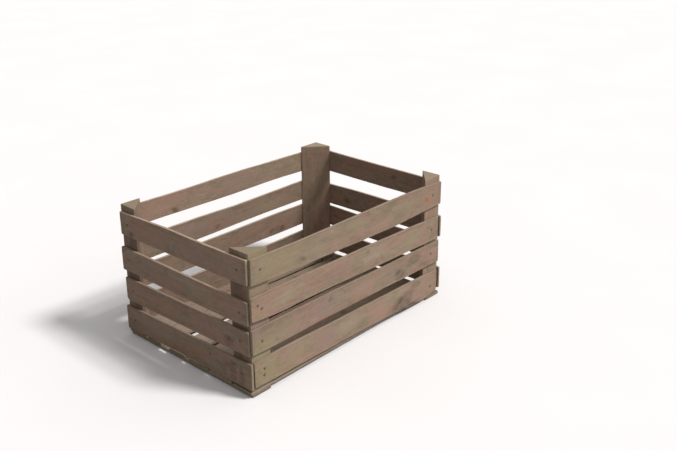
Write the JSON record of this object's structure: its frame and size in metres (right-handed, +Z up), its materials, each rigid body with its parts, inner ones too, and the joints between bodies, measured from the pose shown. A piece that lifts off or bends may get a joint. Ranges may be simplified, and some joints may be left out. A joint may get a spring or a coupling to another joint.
{
  "type": "slatted wooden apple crate",
  "caption": "Open-topped slatted wooden fruit crate with triangular corner posts that stand proud for stacking, nailed slats, a gapped board bottom and cross runners.",
  "frame": {"origin": "on the ground, at the centre of the crate's footprint", "axes": "+X along the crate's length, +Y across its width from the front long side to the back, +Z up"},
  "size_m": [0.6, 0.4, 0.3],
  "materials": {
    "slat_wood": "weathered unplaned softwood lath, grey-brown, matte",
    "post_wood": "weathered sawn softwood post, grey-brown, pale at the end grain",
    "floor_wood": "weathered unplaned softwood board, grey-brown, matte",
    "nail_steel": "dull rusty wire nail"
  },
  "bodies": {
    "root": {"front_slat_1": "slat_wood", "front_slat_2": "slat_wood", "front_slat_3": "slat_wood", "front_slat_4": "slat_wood", "back_slat_1": "slat_wood", "back_slat_2": "slat_wood", "back_slat_3": "slat_wood", "back_slat_4": "slat_wood", "left_end_slat_1": "slat_wood", "left_end_slat_2": "slat_wood", "left_end_slat_3": "slat_wood", "left_end_slat_4": "slat_wood", "right_end_slat_1": "slat_wood", "right_end_slat_2": "slat_wood", "right_end_slat_3": "slat_wood", "right_end_slat_4": "slat_wood", "post_front_left": "post_wood", "post_front_right": "post_wood", "post_back_right": "post_wood", "post_back_left": "post_wood", "bottom_board_1": "floor_wood", "bottom_board_2": "floor_wood", "bottom_board_3": "floor_wood", "bottom_board_4": "floor_wood", "bottom_board_5": "floor_wood", "bottom_board_6": "floor_wood", "runner_left": "floor_wood", "runner_right": "floor_wood", "nail_front_1_left": "nail_steel", "nail_front_1_right": "nail_steel", "nail_front_2_left": "nail_steel", "nail_front_2_right": "nail_steel", "nail_front_3_left": "nail_steel", "nail_front_3_right": "nail_steel", "nail_front_4_left": "nail_steel", "nail_front_4_right": "nail_steel", "nail_back_1_left": "nail_steel", "nail_back_1_right": "nail_steel", "nail_back_2_left": "nail_steel", "nail_back_2_right": "nail_steel", "nail_back_3_left": "nail_steel", "nail_back_3_right": "nail_steel", "nail_back_4_left": "nail_steel", "nail_back_4_right": "nail_steel", "nail_left_1_front": "nail_steel", "nail_left_1_back": "nail_steel", "nail_left_2_front": "nail_steel", "nail_left_2_back": "nail_steel", "nail_left_3_front": "nail_steel", "nail_left_3_back": "nail_steel", "nail_left_4_front": "nail_steel", "nail_left_4_back": "nail_steel", "nail_right_1_front": "nail_steel", "nail_right_1_back": "nail_steel", "nail_right_2_front": "nail_steel", "nail_right_2_back": "nail_steel", "nail_right_3_front": "nail_steel", "nail_right_3_back": "nail_steel", "nail_right_4_front": "nail_steel", "nail_right_4_back": "nail_steel"}
  },
  "joints": []
}
